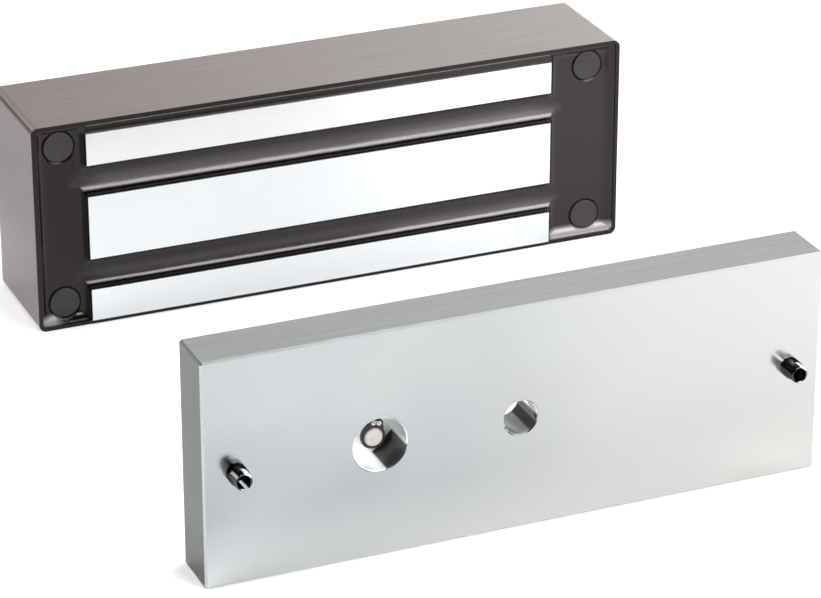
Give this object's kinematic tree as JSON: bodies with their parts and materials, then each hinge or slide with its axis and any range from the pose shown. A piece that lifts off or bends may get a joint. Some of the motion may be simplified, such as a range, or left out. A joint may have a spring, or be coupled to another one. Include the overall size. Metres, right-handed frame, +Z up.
{
  "type": "electromagnetic lock",
  "caption": "Door magnet with resin-potted pole bars in a steel tray, with its thick armature plate standing before it: guide pins, bolt hole and a sprung release plunger.",
  "frame": {"origin": "on the floor, in the middle of the set", "axes": "+Y from the armature plate towards the magnet and its back, +X to the right along both, +Z up"},
  "size_m": [0.198, 0.21, 0.065],
  "materials": {
    "tray_steel": "brushed stainless",
    "pole_steel": "ground and bright",
    "potting_resin": "glossy cast resin",
    "plug_plastic": "matt moulded",
    "bobbin_plastic": "moulded",
    "winding_copper": "enamelled copper wire",
    "lead_copper": "bare copper",
    "suppressor_coat": "dipped coating",
    "grommet_rubber": "moulded",
    "plate_steel": "ground and bright plated",
    "pin_steel": "oiled black spring steel",
    "guide_steel": "turned",
    "plunger_steel": "turned",
    "ring_steel": "black phosphate",
    "spring_steel": "drawn wire"
  },
  "bodies": {
    "lock": {"housing": "tray_steel", "core": "pole_steel", "bobbin": "bobbin_plastic", "coil_winding": "winding_copper", "potting": "potting_resin", "plug_lower_left": "plug_plastic", "plug_lower_right": "plug_plastic", "plug_upper_left": "plug_plastic", "plug_upper_right": "plug_plastic", "surge_suppressor": "suppressor_coat", "coil_lead_start": "lead_copper", "coil_lead_finish": "lead_copper", "lead_grommet": "grommet_rubber", "armature_plate": "plate_steel", "guide_pin_left": "pin_steel", "guide_pin_right": "pin_steel", "plunger_guide": "guide_steel", "plunger_spring": "spring_steel"},
    "plunger": {"release_plunger": "plunger_steel", "retaining_ring": "ring_steel"}
  },
  "joints": [
    {"name": "plunger_press", "type": "slide", "parent": "lock", "child": "plunger", "axis": [0, -1, 0], "range_m": [0, 0.0015], "stiffness_N_per_m": 300, "springref_m": -0.002, "deforming": ["plunger_spring"]}
  ]
}
